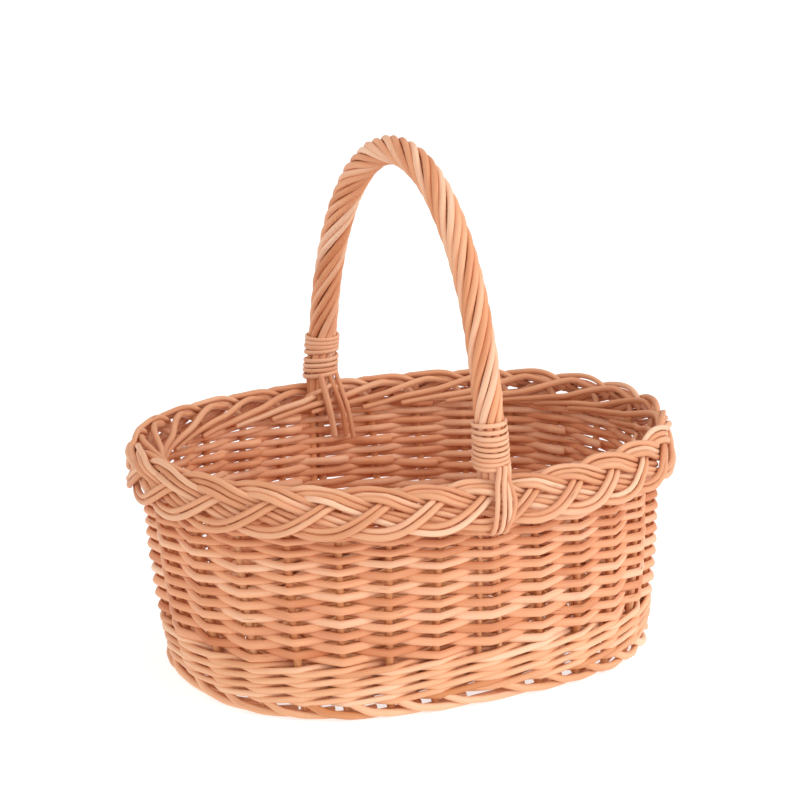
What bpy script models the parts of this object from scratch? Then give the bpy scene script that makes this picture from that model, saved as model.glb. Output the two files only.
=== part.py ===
"""Oval willow basket for gathering mushrooms, with a roped bow handle.

Frame: the origin is at the middle of the foot, +X runs along the basket, +Y across it and +Z up.
Every rod is a piece of its own. Upright places are counted from the +X end, anticlockwise.
"""
import math

import bmesh
import bpy
import numpy as np

# Clearance left between pieces that touch
GAP = 0.0003
ROW_GAP = 0.0004

# The oval line of the stakes at the mouth, and how much smaller it is at the foot
MOUTH_HALF_LENGTH = 0.178
MOUTH_HALF_WIDTH = 0.119
END_FLARE = 0.0125
SIDE_FLARE = 0.006
WALL_BULGE = 0.002
OVAL_FULLNESS = 2.15
PLACE_COUNT = 28

# Rods of the wall
STAKE_DIAMETER = 0.0066
STAKE_STAND_UP = 0.009
WALE_DIAMETER = 0.0052
WALE_ROWS = 5
SIDING_DIAMETER = 0.0043
SIDING_ROWS = 19
UPPER_WALE_DIAMETER = 0.0032
UPPER_WALE_ROWS = 4
STEP_UP_PLACES = 3

# Foot: a flat-bottomed hoop and the rods that sweep down to it
RIM_HEIGHT = 0.0042
RIM_WIDTH = 0.009
RIM_EDGE = 0.0012
SWEEP_DIAMETER = 0.0034
SWEEP_RETURN_SHARE = 0.12
FOOT_RISE = 0.0057

# Base: long sticks threaded through slit cross sticks, in a layer of weaving that swells over each stick
BASE_ROD_DIAMETER = 0.0034
CROSS_STICK_DIAMETER = 0.0076
CROSS_STICK_COUNT = 7
CROSS_STICK_SETBACK = 0.0343
LONG_STICK_DIAMETER = 0.0048
LONG_STICK_COUNT = 3
STICK_INSET = 0.0015

# Border: three strands plaited over the mouth, leaning outwards, steeper round the two ends
STRAND_DIAMETER = 0.0070
STRAND_COUNT = 3
BORDER_REACH = 0.0165
BORDER_END_REACH = 0.0140
BORDER_RISE = 0.00035
BORDER_TILT = math.radians(49)
BORDER_END_TILT = math.radians(64)
BORDER_SWING = 0.0135
BORDER_LIFT = 0.0052

# Handle: a bow roped over with rods; its arch springs a little above the border
ARCH_SPREAD = 0.0050
ARCH_RISE = 0.1898
SPRING_RISE = 0.016
ARCH_EASE = 0.050
BOW_DIAMETER = 0.0094
ROPE_ROD_DIAMETER = 0.0046
ROPE_ROD_COUNT = 9
ROPE_PITCH = 0.120
ROPE_STEPS = 7
ROPE_RISE = 0.0185

# Bindings round the two ends of the rope
BINDING_DIAMETER = 0.0026
BINDING_PITCH = 0.0037
FRONT_BINDING_TURNS = 9
BACK_BINDING_TURNS = 8
BINDING_STEPS = 10
BINDING_RISE = 0.0022

# Ties that fasten the rope: one over the border in front, one into the weave at the back
TIE_WIDTH = 0.013
TIE_THICKNESS = 0.0028
FRONT_TIE_FROM = math.radians(146)
FRONT_TIE_TO = math.radians(-30)
BACK_TIE_DROP = 0.030
BACK_TIE_DRIFT = 0.012
BACK_TIE_DRIFT_SHARES = (0, 1 / 6, 1 / 3, 1)

# Colours of the peeled willow, as sRGB hex, and its finish
STAKE_COLOUR = "D08A55"
SIDING_COLOUR = "DC9A63"
WALE_COLOUR = "E3A571"
BORDER_COLOUR = "E9B07D"
BASE_COLOUR = "CB8852"
HANDLE_COLOUR = "E6AA76"
BINDING_COLOUR = "EFBB8C"
WILLOW_ROUGHNESS = 0.5

STAKE_RADIUS = STAKE_DIAMETER / 2
HOOP_TOP = RIM_HEIGHT + GAP
WALL_BOTTOM = HOOP_TOP + FOOT_RISE
SWELL_RADIUS = CROSS_STICK_DIAMETER / 2 + GAP + BASE_ROD_DIAMETER
BASE_BOTTOM = WALL_BOTTOM + GAP
STICK_HEIGHT = BASE_BOTTOM + SWELL_RADIUS


def row_pitch(diameter):
    """Height from one row of rods to the next."""
    return diameter + ROW_GAP


WALE_START = WALL_BOTTOM + GAP + WALE_DIAMETER / 2
SIDING_START = WALE_START + WALE_ROWS * row_pitch(WALE_DIAMETER) + (SIDING_DIAMETER - WALE_DIAMETER) / 2
UPPER_WALE_START = (
    SIDING_START + SIDING_ROWS * row_pitch(SIDING_DIAMETER) + (UPPER_WALE_DIAMETER - SIDING_DIAMETER) / 2
)
MOUTH_HEIGHT = UPPER_WALE_START + UPPER_WALE_ROWS * row_pitch(UPPER_WALE_DIAMETER)
BORDER_HEIGHT = MOUTH_HEIGHT + BORDER_RISE
STAKE_TOP = BORDER_HEIGHT + STAKE_STAND_UP
ROPE_START = BORDER_HEIGHT + ROPE_RISE
ARCH_SPRING = BORDER_HEIGHT + SPRING_RISE
ARCH_HALF_SPAN = MOUTH_HALF_WIDTH + ARCH_SPREAD
FOOT_LEAN = (END_FLARE + 4 * WALL_BULGE) / (MOUTH_HEIGHT - RIM_HEIGHT)
STAKE_FOOT = HOOP_TOP + STAKE_RADIUS * FOOT_LEAN


def wall_size(height):
    """Half length and half width of the stakes' oval at a height; it runs on straight past the mouth."""
    share = (height - RIM_HEIGHT) / (MOUTH_HEIGHT - RIM_HEIGHT)
    bulge = WALL_BULGE * max(0.0, 4 * share * (1 - share))
    half_length = MOUTH_HALF_LENGTH - END_FLARE * (1 - share) + bulge
    half_width = MOUTH_HALF_WIDTH - SIDE_FLARE * (1 - share) + bulge
    return half_length, half_width


def oval(angles, half_length, half_width):
    """Points of a slightly squared oval |x/a|^m + |y/b|^m = 1 and their outward normals."""
    cosine, sine = np.cos(angles), np.sin(angles)
    power = 2 / OVAL_FULLNESS
    x = half_length * np.sign(cosine) * np.abs(cosine) ** power
    y = half_width * np.sign(sine) * np.abs(sine) ** power
    normal_x = np.sign(x) * np.abs(x / half_length) ** (OVAL_FULLNESS - 1) / half_length
    normal_y = np.sign(y) * np.abs(y / half_width) ** (OVAL_FULLNESS - 1) / half_width
    normals = np.column_stack([normal_x, normal_y])
    normals /= np.linalg.norm(normals, axis=1)[:, None]
    return np.column_stack([x, y]), normals


def place_angles(places):
    """Oval angles of places counted along the mouth, PLACE_COUNT of them to the round."""
    dense = np.linspace(0, 2 * math.pi, 2881)
    line, _ = oval(dense, MOUTH_HALF_LENGTH, MOUTH_HALF_WIDTH)
    run = np.concatenate([[0], np.cumsum(np.linalg.norm(np.diff(line, axis=0), axis=1))])
    rounds = np.floor(np.asarray(places, float) / PLACE_COUNT)
    within = np.asarray(places, float) / PLACE_COUNT - rounds
    return np.interp(within * run[-1], run, dense) + 2 * math.pi * rounds


BACK_PLACE = PLACE_COUNT // 4
FRONT_PLACE = 3 * PLACE_COUNT // 4


def wall_points(places, offsets, heights):
    """Points at places on the wall, offset outwards from the stakes' line."""
    angles = place_angles(places)
    points = []
    for angle, offset, height in zip(angles, offsets, heights):
        spot, normal = oval(np.array([angle]), *wall_size(height))
        points.append((*(spot[0] + offset * normal[0]), height))
    return np.array(points)


def lanes(diameter, height):
    """Offsets outside and inside the stakes' line that carry a rod past each stake with the gap."""
    centres, normals = oval(place_angles(range(PLACE_COUNT)), *wall_size(height))
    reach = STAKE_RADIUS + diameter / 2 + GAP
    outside = np.full(PLACE_COUNT, reach)
    inside = np.full(PLACE_COUNT, reach)
    for _ in range(PLACE_COUNT):
        for own, other, side in ((outside, inside, 1), (inside, outside, -1)):
            corners = centres + side * own[:, None] * normals
            far = centres - side * other[:, None] * normals
            turned = []
            for step in (1, -1):
                run = np.roll(far, -step, axis=0) - corners
                run /= np.linalg.norm(run, axis=1)[:, None]
                turned.append(np.abs(run[:, 0] * normals[:, 1] - run[:, 1] * normals[:, 0]))
            own[:] = reach / np.minimum(*turned)
    return outside, -inside


def linear(hex_colour):
    """Linear RGBA of an sRGB hex colour."""
    shares = [int(hex_colour[i:i + 2], 16) / 255 for i in (0, 2, 4)]
    return [c / 12.92 if c <= 0.04045 else ((c + 0.055) / 1.055) ** 2.4 for c in shares] + [1.0]


def willow(name, hex_colour):
    """Principled material of peeled willow."""
    material = bpy.data.materials.new(name + "_willow")
    material.use_nodes = True
    shader = material.node_tree.nodes["Principled BSDF"]
    shader.inputs["Base Color"].default_value = linear(hex_colour)
    shader.inputs["Roughness"].default_value = WILLOW_ROUGHNESS
    shader.inputs["Metallic"].default_value = 0.0
    material.diffuse_color = linear(hex_colour)
    return material


def collection(name):
    """A new collection in the scene."""
    group = bpy.data.collections.new(name)
    bpy.context.scene.collection.children.link(group)
    return group


def spline(curve, points, closed, shares=None):
    """Add a straight-sided spline through the points, with the thickness shares along it."""
    line = curve.splines.new("POLY")
    line.points.add(len(points) - 1)
    line.points.foreach_set("co", np.column_stack([points, np.ones(len(points))]).ravel())
    line.use_cyclic_u = closed
    if shares is not None:
        line.points.foreach_set("radius", shares)
    return line


def rod(group, name, points, diameter, colour, closed=False, shares=None, upright=True, roundness=1):
    """A willow rod: a bevelled curve with filled ends."""
    curve = bpy.data.curves.new(name, "CURVE")
    curve.dimensions = "3D"
    curve.bevel_depth = diameter / 2
    curve.bevel_resolution = roundness
    curve.use_fill_caps = not closed
    curve.twist_mode = "Z_UP" if upright else "MINIMUM"
    spline(curve, points, closed, shares)
    body = bpy.data.objects.new(name, curve)
    body.data.materials.append(willow(name, colour))
    group.objects.link(body)
    return body


def box_outline(wide, high):
    """Corners of a rectangle round the middle, clockwise."""
    return [(-wide / 2, -high / 2), (-wide / 2, high / 2), (wide / 2, high / 2), (wide / 2, -high / 2)]


def section(group, name, corners):
    """A closed outline, listed clockwise, that a curve carries along itself."""
    curve = bpy.data.curves.new(name, "CURVE")
    curve.dimensions = "2D"
    spline(curve, np.array([(x, y, 0.0) for x, y in corners]), closed=True)
    guide = bpy.data.objects.new(name, curve)
    guide.hide_render = True
    guide.display_type = "WIRE"
    group.objects.link(guide)
    return guide


def shaped_rod(group, name, points, guide, colour, closed=False, upright=True):
    """A piece with its guide's outline all along it."""
    body = rod(group, name, points, 0.0, colour, closed=closed, upright=upright)
    body.data.bevel_mode = "OBJECT"
    body.data.bevel_object = guide
    return body


def stakes(group):
    """Uprights at every place but the two that the bow's legs take."""
    levels = np.linspace(STAKE_FOOT, STAKE_TOP, 4)
    for place in range(PLACE_COUNT):
        if place in (BACK_PLACE, FRONT_PLACE):
            continue
        points = wall_points([place] * len(levels), [0.0] * len(levels), levels)
        rod(group, f"stake_{place:02d}", points, STAKE_DIAMETER, STAKE_COLOUR, upright=False)


def weaver(group, name, diameter, colour, start, rows, climb, pattern, guide=None, short=0):
    """One rod woven round the wall; it steps up to its next row over the places before place 0.

    The pattern says for successive places whether the rod passes outside. The last row stays level
    and ends short of place 0 by the places given.
    """
    middle = start + rows * climb / 2
    outside, inside = lanes(diameter, middle)
    steps = np.arange(rows * PLACE_COUNT - short)
    places = steps % PLACE_COUNT
    passes = np.array(pattern)[steps % len(pattern)]
    offsets = np.where(passes, outside[places], inside[places])
    stepping = np.clip((places - PLACE_COUNT + STEP_UP_PLACES) / STEP_UP_PLACES, 0, 1)
    row = steps // PLACE_COUNT
    heights = start + climb * (row + np.where(row < rows - 1, stepping, 0))
    points = wall_points(steps, offsets, heights)
    if guide:
        shaped_rod(group, name, points, guide, colour)
    else:
        rod(group, name, points, diameter, colour)


def siding(group, guides):
    """Two rods that chase each other round the wall, each outside where the other is inside."""
    guide = section(guides, "siding_section", box_outline(SIDING_DIAMETER, SIDING_DIAMETER))
    pitch = row_pitch(SIDING_DIAMETER)
    first_rows = (SIDING_ROWS + 1) // 2
    second_rows = SIDING_ROWS // 2
    weaver(group, "siding_a", SIDING_DIAMETER, SIDING_COLOUR, SIDING_START, first_rows, 2 * pitch, (1, 0),
           guide=guide)
    weaver(group, "siding_b", SIDING_DIAMETER, SIDING_COLOUR, SIDING_START + pitch, second_rows, 2 * pitch,
           (0, 1), guide=guide, short=STEP_UP_PLACES)


def wales(group, guides):
    """Bands with strokes that pass outside two places and inside the third."""
    weaver(group, "lower_wale", WALE_DIAMETER, WALE_COLOUR, WALE_START, WALE_ROWS,
           row_pitch(WALE_DIAMETER), (1, 1, 0))
    guide = section(guides, "upper_wale_section", box_outline(UPPER_WALE_DIAMETER, UPPER_WALE_DIAMETER))
    weaver(group, "upper_wale", UPPER_WALE_DIAMETER, WALE_COLOUR, UPPER_WALE_START, UPPER_WALE_ROWS,
           row_pitch(UPPER_WALE_DIAMETER), (1, 1, 0), guide=guide)


def foot(group, guides):
    """The hoop that the basket stands on, and the rods that sweep down to it from the wall."""
    half = RIM_WIDTH / 2
    outline = [(-half + RIM_EDGE, 0.0), (-half, RIM_HEIGHT / 2), (-half + RIM_EDGE, RIM_HEIGHT),
               (half - RIM_EDGE, RIM_HEIGHT), (half, RIM_HEIGHT / 2), (half - RIM_EDGE, 0.0)]
    guide = section(guides, "foot_rim_section", outline)
    places = np.arange(2 * PLACE_COUNT) / 2
    spots = wall_points(places, [0.0] * len(places), [RIM_HEIGHT] * len(places))
    spots[:, 2] = 0.0
    shaped_rod(group, "foot_rim", spots, guide, BASE_COLOUR, closed=True)

    low = HOOP_TOP + SWEEP_DIAMETER / 2
    high = WALL_BOTTOM - SWEEP_DIAMETER / 2
    outside, _ = lanes(SWEEP_DIAMETER, high)
    places = np.arange(PLACE_COUNT)[:, None] + np.array([0, 1 - SWEEP_RETURN_SHARE])
    offsets = np.column_stack([outside, np.roll(outside, -1)])
    heights = np.tile([high, low], PLACE_COUNT)
    rod(group, "foot_sweep", wall_points(places.ravel(), offsets.ravel(), heights), SWEEP_DIAMETER,
        WALE_COLOUR, closed=True)


def stick(group, name, diameter, length, centre, along_x, colour):
    """A straight base stick lying along X or Y."""
    turn = (0, math.pi / 2, 0) if along_x else (math.pi / 2, 0, 0)
    bpy.ops.mesh.primitive_cylinder_add(vertices=8, radius=diameter / 2, depth=length, location=centre,
                                        rotation=turn)
    body = bpy.context.object
    body.name = name
    body.data.materials.append(willow(name, colour))
    for owner in list(body.users_collection):
        owner.objects.unlink(body)
    group.objects.link(body)
    return body


def combine(body, other, operation):
    """Change the body by another shape, which itself isn't shown."""
    other.hide_render = True
    other.display_type = "WIRE"
    change = body.modifiers.new(operation.lower() + "_" + other.name, "BOOLEAN")
    change.operation = operation
    change.solver = "EXACT"
    change.object = other


def cut(body, cutter):
    """Take the cutter's shape out of the body."""
    combine(body, cutter, "DIFFERENCE")


def join(body, added):
    """Add a shape to the body."""
    combine(body, added, "UNION")


def keep(body, region):
    """Keep only what of the body lies in the region."""
    combine(body, region, "INTERSECT")


def base_size():
    """Half length and half width of the base, which the lower wale goes round."""
    _, inside = lanes(WALE_DIAMETER, BASE_BOTTOM)
    edge = WALE_DIAMETER / 2 + GAP - inside.min()
    return [size - edge for size in wall_size(BASE_BOTTOM)]


def cross_stick_places(half_length):
    """Where the cross sticks lie along the base."""
    last = half_length - CROSS_STICK_SETBACK
    return np.linspace(-last, last, CROSS_STICK_COUNT)


def base_sticks(group, cutters):
    """The long sticks and the slit cross sticks, and the holes that they leave in the weaving."""
    half_length, half_width = base_size()
    holes = []
    long_step = LONG_STICK_DIAMETER + GAP
    bundle = (LONG_STICK_COUNT - 1) * long_step + LONG_STICK_DIAMETER
    for number in range(LONG_STICK_COUNT):
        y = (number - (LONG_STICK_COUNT - 1) / 2) * long_step
        length = 2 * (half_length - STICK_INSET)
        stick(group, f"base_stick_long_{number + 1}", LONG_STICK_DIAMETER, length, (0, y, STICK_HEIGHT),
              True, BASE_COLOUR)
        holes.append(stick(cutters, f"long_hole_{number + 1}", LONG_STICK_DIAMETER + 2 * GAP,
                           2 * (half_length + GAP), (0, y, STICK_HEIGHT), True, BASE_COLOUR))
    for number, x in enumerate(cross_stick_places(half_length)):
        reach = half_width * (1 - abs(x / half_length) ** OVAL_FULLNESS) ** (1 / OVAL_FULLNESS)
        body = stick(group, f"base_stick_cross_{number + 1}", CROSS_STICK_DIAMETER, 2 * (reach - STICK_INSET),
                     (x, 0, STICK_HEIGHT), False, STAKE_COLOUR)
        bpy.ops.mesh.primitive_cube_add(size=1, location=(x, 0, STICK_HEIGHT))
        slit = bpy.context.object
        slit.name = f"slit_{number + 1}"
        slit.scale = (2 * CROSS_STICK_DIAMETER, bundle + 2 * GAP, LONG_STICK_DIAMETER + 2 * GAP)
        for owner in list(slit.users_collection):
            owner.objects.unlink(slit)
        cutters.objects.link(slit)
        cut(body, slit)
        holes.append(stick(cutters, f"cross_hole_{number + 1}", CROSS_STICK_DIAMETER + 2 * GAP,
                           2 * (half_width + GAP), (x, 0, STICK_HEIGHT), False, BASE_COLOUR))
    return holes


def swell(cutters):
    """The layer of base weaving: as thin as a rod between the sticks, and swelling over each of them."""
    half_length, half_width = base_size()
    bpy.ops.mesh.primitive_cube_add(size=1, location=(0, 0, STICK_HEIGHT))
    layer = bpy.context.object
    layer.name = "weave_layer"
    layer.scale = (2 * (half_length + GAP), 2 * (half_width + GAP), BASE_ROD_DIAMETER)
    for owner in list(layer.users_collection):
        owner.objects.unlink(layer)
    cutters.objects.link(layer)
    skin = 2 * (GAP + BASE_ROD_DIAMETER)
    bundle = LONG_STICK_COUNT * (LONG_STICK_DIAMETER + GAP) + skin
    ridge = stick(cutters, "long_swell", LONG_STICK_DIAMETER + skin, 2 * (half_length + GAP),
                  (0, 0, STICK_HEIGHT), True, BASE_COLOUR)
    ridge.scale = (1, bundle / (LONG_STICK_DIAMETER + skin), 1)
    join(layer, ridge)
    for number, x in enumerate(cross_stick_places(half_length)):
        join(layer, stick(cutters, f"cross_swell_{number + 1}", 2 * SWELL_RADIUS, 2 * (half_width + GAP),
                          (x, 0, STICK_HEIGHT), False, BASE_COLOUR))
    return layer


def base_weave(group, cutters, holes):
    """The oval of base weaving: one swelling layer, with a hole for every stick."""
    angles = place_angles(np.arange(2 * PLACE_COUNT) / 2)
    edge, _ = oval(angles, *base_size())
    curve = bpy.data.curves.new("base_weave_outline", "CURVE")
    curve.dimensions = "2D"
    curve.fill_mode = "BOTH"
    curve.extrude = SWELL_RADIUS + GAP
    spline(curve, np.column_stack([edge, np.zeros(len(edge))]), closed=True)
    outline = bpy.data.objects.new("base_weave_outline", curve)
    group.objects.link(outline)
    graph = bpy.context.evaluated_depsgraph_get()
    mesh = bpy.data.meshes.new_from_object(outline.evaluated_get(graph))
    bpy.data.objects.remove(outline)
    weld(mesh)
    panel = bpy.data.objects.new("base_weave", mesh)
    panel.location = (0, 0, STICK_HEIGHT)
    panel.data.materials.append(willow("base_weave", BASE_COLOUR))
    group.objects.link(panel)
    keep(panel, swell(cutters))
    for hole in holes:
        cut(panel, hole)


def weld(mesh):
    """Join the loose caps of a curve's mesh to its sides."""
    sheet = bmesh.new()
    sheet.from_mesh(mesh)
    bmesh.ops.remove_doubles(sheet, verts=sheet.verts, dist=GAP / 10)
    bmesh.ops.recalc_face_normals(sheet, faces=sheet.faces)
    sheet.to_mesh(mesh)
    sheet.free()


def on_border(angles, along, lift):
    """Distance out from the stakes' line, and rise, of a point down the border's slope and off its face.

    The angles are the oval's. Towards its two ends the border reaches out less and leans less.
    """
    end_share = np.cos(angles) ** 2
    reach = BORDER_REACH + end_share * (BORDER_END_REACH - BORDER_REACH)
    tilt = BORDER_TILT + end_share * (BORDER_END_TILT - BORDER_TILT)
    out = reach + along * np.cos(tilt) + lift * np.sin(tilt)
    rise = lift * np.cos(tilt) - along * np.sin(tilt)
    return out, rise


def border(group):
    """Three strands of a plait, each on top from its edge to the middle and below from there on.

    After one round each ends halfway along the next one's first stretch.
    """
    places = np.arange(2 * PLACE_COUNT + 2) / 2
    angles = place_angles(places)
    spots, normals = oval(angles, MOUTH_HALF_LENGTH, MOUTH_HALF_WIDTH)
    for strand in range(STRAND_COUNT):
        swing_angle = 2 * math.pi * (places + strand) / STRAND_COUNT + math.pi / 6
        along = BORDER_SWING * np.sin(swing_angle)
        lift = -BORDER_LIFT * np.sin(2 * swing_angle)
        out, rise = on_border(angles, along, lift)
        points = np.column_stack([spots + out[:, None] * normals, BORDER_HEIGHT + rise])
        last = points[-1] - points[-2]
        points[0] = (points[0] + points[1]) / 2
        points[-1] = points[-2] + last * (1 - 2 * GAP / np.linalg.norm(last)) / 2
        rod(group, f"border_strand_{strand + 1}", points, STRAND_DIAMETER, BORDER_COLOUR)


def resample(points, count):
    """The same line with evenly spaced points."""
    run = np.concatenate([[0], np.cumsum(np.linalg.norm(np.diff(points, axis=0), axis=1))])
    at = np.linspace(0, run[-1], count)
    return np.column_stack([np.interp(at, run, points[:, i]) for i in range(3)])


def arch_line():
    """Middle line of the bow above its springing, front to back, eased into the line of the wall."""
    turn = np.linspace(0, math.pi, 361)
    height = ARCH_SPRING + ARCH_RISE * np.sin(turn)
    across = -ARCH_HALF_SPAN * np.cos(turn)
    share = np.clip((height - ARCH_SPRING) / ARCH_EASE, 0, 1)
    ease = share * share * (3 - 2 * share)
    wall = np.array([wall_size(z)[1] for z in height])
    across = np.where(share < 1, np.sign(across) * ((1 - ease) * wall + ease * np.abs(across)), across)
    return np.column_stack([np.zeros(len(turn)), across, height])


def bow(group):
    """The bow: a thick arch whose legs taper and run down in the wall in place of two stakes."""
    levels = np.append(np.linspace(STAKE_FOOT, MOUTH_HEIGHT, 4), STAKE_TOP)
    leg = np.array([(0.0, -wall_size(z)[1], z) for z in levels])
    arch = resample(arch_line(), 27)
    points = np.vstack([leg, arch, (leg * (1, -1, 1))[::-1]])
    shares = np.where(points[:, 2] < ARCH_SPRING - GAP, STAKE_DIAMETER / BOW_DIAMETER, 1.0)
    rod(group, "handle_bow", points, BOW_DIAMETER, HANDLE_COLOUR, shares=shares, upright=False, roundness=2)


def along_arch(distances, line):
    """Points, tangents and inward normals of the arch at distances along it."""
    run = np.concatenate([[0], np.cumsum(np.linalg.norm(np.diff(line, axis=0), axis=1))])
    spots = np.column_stack([np.interp(distances, run, line[:, i]) for i in range(3)])
    slopes = np.gradient(line, run, axis=0)
    tangents = np.column_stack([np.interp(distances, run, slopes[:, i]) for i in range(3)])
    tangents /= np.linalg.norm(tangents, axis=1)[:, None]
    normals = np.column_stack([np.zeros(len(distances)), tangents[:, 2], -tangents[:, 1]])
    return spots, tangents, normals


def wound(distances, turns, radius, line):
    """Points that wind right-handed round the arch at a radius, by turns in radians."""
    spots, _, normals = along_arch(distances, line)
    side = np.array([1.0, 0.0, 0.0])
    return spots + radius * (np.cos(turns)[:, None] * normals - np.sin(turns)[:, None] * side)


def rope_reach():
    """Radius of the rope rods' corners round the bow, so that their straight sides clear it."""
    return (BOW_DIAMETER / 2 + ROPE_ROD_DIAMETER / 2 + GAP) / math.cos(math.pi / ROPE_STEPS)


def rope_span(line):
    """Distances along the arch where the roping starts and ends."""
    run = np.concatenate([[0], np.cumsum(np.linalg.norm(np.diff(line, axis=0), axis=1))])
    start = np.interp(ROPE_START, line[:len(line) // 2, 2], run[:len(line) // 2])
    return start, run[-1] - start


def rope(group):
    """Rods laid round the bow like a rope."""
    line = arch_line()
    start, end = rope_span(line)
    count = int(round((end - start) / ROPE_PITCH * ROPE_STEPS)) + 1
    distances = np.linspace(start, end, count)
    for number in range(ROPE_ROD_COUNT):
        turns = 2 * math.pi * ((distances - start) / ROPE_PITCH + number / ROPE_ROD_COUNT)
        points = wound(distances, turns, rope_reach(), line)
        rod(group, f"handle_rod_{number + 1}", points, ROPE_ROD_DIAMETER, HANDLE_COLOUR, upright=False)


def binding(group, name, turns_count, from_back):
    """A rod wound closely round one end of the rope."""
    line = arch_line()
    start, end = rope_span(line)
    clear = rope_reach() + ROPE_ROD_DIAMETER / 2 + GAP + BINDING_DIAMETER / 2
    radius = clear / math.cos(math.pi / BINDING_STEPS)
    steps = np.arange(turns_count * BINDING_STEPS + 1) / BINDING_STEPS
    rise = BINDING_RISE + steps * BINDING_PITCH
    distances = end - rise if from_back else start + rise
    points = wound(distances, 2 * math.pi * steps, radius, line)
    rod(group, name, points, BINDING_DIAMETER, BINDING_COLOUR)
    same_place = points[BINDING_STEPS:] - points[:-BINDING_STEPS]
    print(name, "least gap to itself", np.linalg.norm(same_place, axis=1).min() - BINDING_DIAMETER)


def ties(group, guides):
    """The front tie runs over the border and under it; the back tie runs down inside the wall."""
    thin = TIE_THICKNESS / 2
    flat = section(guides, "front_tie_section", box_outline(TIE_WIDTH, TIE_THICKNESS))
    upright = section(guides, "back_tie_section", box_outline(TIE_THICKNESS, TIE_WIDTH))
    strand = STRAND_DIAMETER / 2
    along = BORDER_SWING + strand + GAP + thin
    crossing = BORDER_LIFT * math.sin(math.pi / 3) + strand
    beside = BORDER_SWING * math.sin(math.pi / 6) / (BORDER_SWING + strand)
    above = crossing / math.sqrt(1 - beside * beside) + GAP + thin
    turn = np.linspace(FRONT_TIE_FROM, FRONT_TIE_TO, 11)
    out, rise = on_border(-math.pi / 2, along * np.cos(turn), above * np.sin(turn))
    front = np.column_stack([np.zeros(len(turn)), -MOUTH_HALF_WIDTH - out, BORDER_HEIGHT + rise])
    shaped_rod(group, "front_tie", front, flat, BINDING_COLOUR, upright=False)

    _, siding_inside = lanes(SIDING_DIAMETER, MOUTH_HEIGHT)
    clear = -siding_inside[BACK_PLACE] + SIDING_DIAMETER / 2 + GAP + thin
    start = BOW_DIAMETER / 2 + GAP + thin
    levels = [ROPE_START - TIE_THICKNESS, STAKE_TOP, MOUTH_HEIGHT, MOUTH_HEIGHT - BACK_TIE_DROP]
    offsets = [start, (start + clear) / 2, clear, clear]
    drifts = BACK_TIE_DRIFT * np.array(BACK_TIE_DRIFT_SHARES)
    back = np.array([(x, wall_size(z)[1] - offset, z) for x, offset, z in zip(drifts, offsets, levels)])[::-1]
    shaped_rod(group, "back_tie", back, upright, BINDING_COLOUR, upright=False)


def main():
    """Clear the scene and build the basket."""
    for old in list(bpy.data.objects):
        bpy.data.objects.remove(old)
    basket = collection("foraging_basket")
    cutters = collection("cutters")
    stakes(basket)
    wales(basket, cutters)
    siding(basket, cutters)
    foot(basket, cutters)
    base_weave(basket, cutters, base_sticks(basket, cutters))
    border(basket)
    bow(basket)
    rope(basket)
    binding(basket, "front_binding", FRONT_BINDING_TURNS, False)
    binding(basket, "back_binding", BACK_BINDING_TURNS, True)
    ties(basket, cutters)


main()
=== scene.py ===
"""Oval foraging basket of peeled willow: the looks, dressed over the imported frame.

Lengths are in metres, +X along the basket, +Y across it and +Z up. Places are counted round the wall from
the +X end, anticlockwise, one at each upright, and a place may be a fraction. A bar is one rod to be made:
its line of points, the way it faces along that line, its thickness and, where it has its own, its tone.
"""
import math

import bpy
import numpy as np
from mathutils import Euler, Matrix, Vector


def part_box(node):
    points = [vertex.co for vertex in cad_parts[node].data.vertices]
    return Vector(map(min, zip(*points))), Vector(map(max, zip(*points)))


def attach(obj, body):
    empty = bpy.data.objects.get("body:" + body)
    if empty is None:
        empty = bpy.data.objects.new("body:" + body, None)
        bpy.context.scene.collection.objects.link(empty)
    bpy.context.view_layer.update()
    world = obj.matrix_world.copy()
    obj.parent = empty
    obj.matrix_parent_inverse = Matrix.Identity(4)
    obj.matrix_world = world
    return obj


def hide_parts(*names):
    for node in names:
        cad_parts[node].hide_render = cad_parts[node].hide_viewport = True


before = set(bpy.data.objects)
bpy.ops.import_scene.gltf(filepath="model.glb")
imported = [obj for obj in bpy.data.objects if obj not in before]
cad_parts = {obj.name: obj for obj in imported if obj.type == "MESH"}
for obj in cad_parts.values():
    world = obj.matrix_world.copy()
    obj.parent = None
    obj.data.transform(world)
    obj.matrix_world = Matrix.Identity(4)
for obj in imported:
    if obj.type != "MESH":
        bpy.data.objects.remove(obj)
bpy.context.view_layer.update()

MM = 0.001
TURN = 2 * math.pi
UP = (0.0, 0.0, 1.0)
FINE = 14  # points of a rod from one place to the next

# The oval line of the uprights, as the frame has it. A fullness of 2 is an ellipse, and more is squarer.
PLACES = 28
BACK_PLACE = PLACES // 4
FRONT_PLACE = 3 * PLACES // 4
MOUTH_HALF_LENGTH = 178 * MM
MOUTH_HALF_WIDTH = 119 * MM
END_FLARE = 20 * MM
SIDE_FLARE = 6 * MM
END_BULGE = 4 * MM
SIDE_BULGE = 2 * MM
OVAL_FULLNESS = 2.15
FOOT_FULLNESS = 2.55
OVAL_STEPS = 2880
RIM_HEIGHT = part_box("foot_rim")[1].z
WALE_LOW, WALE_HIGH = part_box("lower_wale")[0].z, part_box("lower_wale")[1].z
SIDING_LOW, SIDING_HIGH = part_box("siding_a")[0].z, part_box("siding_a")[1].z
UPPER_LOW, UPPER_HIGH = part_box("upper_wale")[0].z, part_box("upper_wale")[1].z
MOUTH_HEIGHT = UPPER_HIGH + 2 * MM

# Any rod: its cut ends as shares of its thickness, and its tone, which differs by rod and drifts along it
CUT_WIDTH = 0.8
CUT_DEPTH = 0.14
CUT_ANGLE = math.radians(50)
GRAIN_SCATTER = 5.0
TONE_SPREAD = 0.4
TONE_DRIFT = 0.18
TONE_WAVE = 160 * MM

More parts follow.
